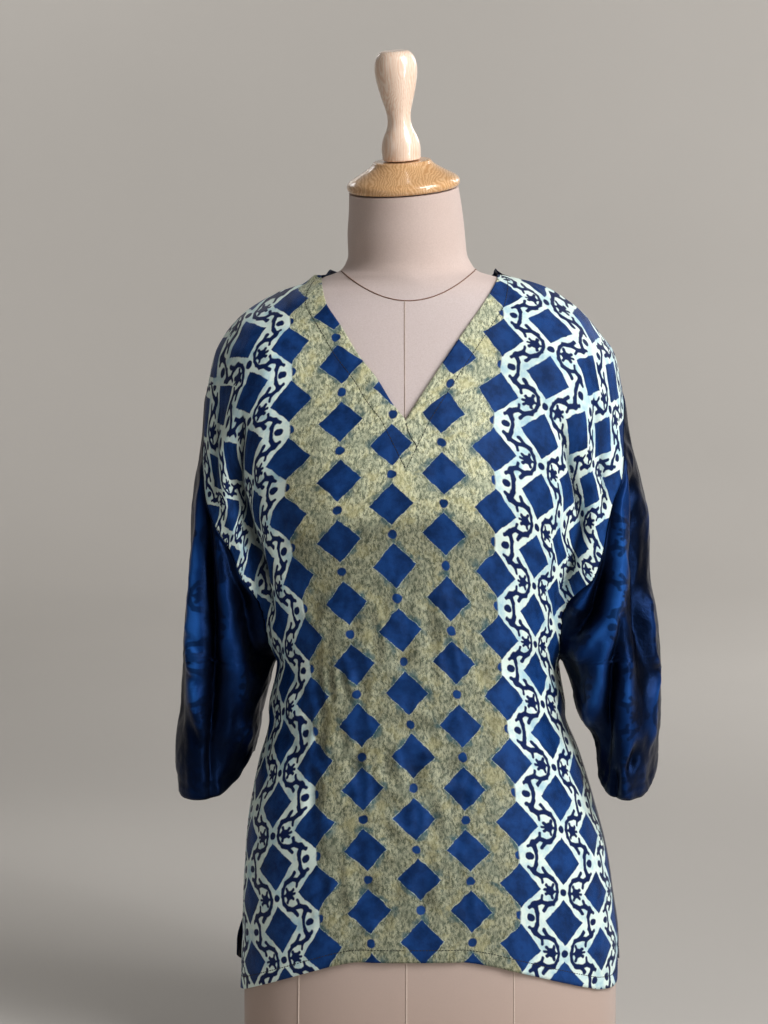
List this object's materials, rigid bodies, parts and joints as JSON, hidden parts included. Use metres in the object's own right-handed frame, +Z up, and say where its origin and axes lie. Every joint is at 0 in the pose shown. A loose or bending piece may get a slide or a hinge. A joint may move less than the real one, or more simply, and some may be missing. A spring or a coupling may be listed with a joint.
{
  "type": "tunic top on dress form",
  "caption": "V-neck tunic top with dolman three-quarter sleeves, resting on a limbless dress form with a turned wooden neck cap and finial.",
  "frame": {"origin": "centre-front line of the torso at the form's flat base, on the plane through the shoulder seams", "axes": "+Z up along the form, -Y out of the front, +X to the viewer's right"},
  "size_m": [0.4626, 0.2484, 0.9616],
  "materials": {
    "form_fabric": "smooth pinkish-beige jersey cover",
    "cap_wood": "gloss-lacquered honey-coloured turned wood",
    "finial_wood": "gloss-lacquered pale turned wood",
    "printed_satin": "silk satin, block printed in indigo, olive and white",
    "navy_satin": "navy silk satin with a faint darker motif"
  },
  "bodies": {
    "root": {"dress_form": "form_fabric", "neck_cap": "cap_wood", "finial": "finial_wood", "front_panel": "printed_satin", "back_panel": "navy_satin", "sleeve_left": "navy_satin", "sleeve_right": "navy_satin"}
  },
  "joints": []
}
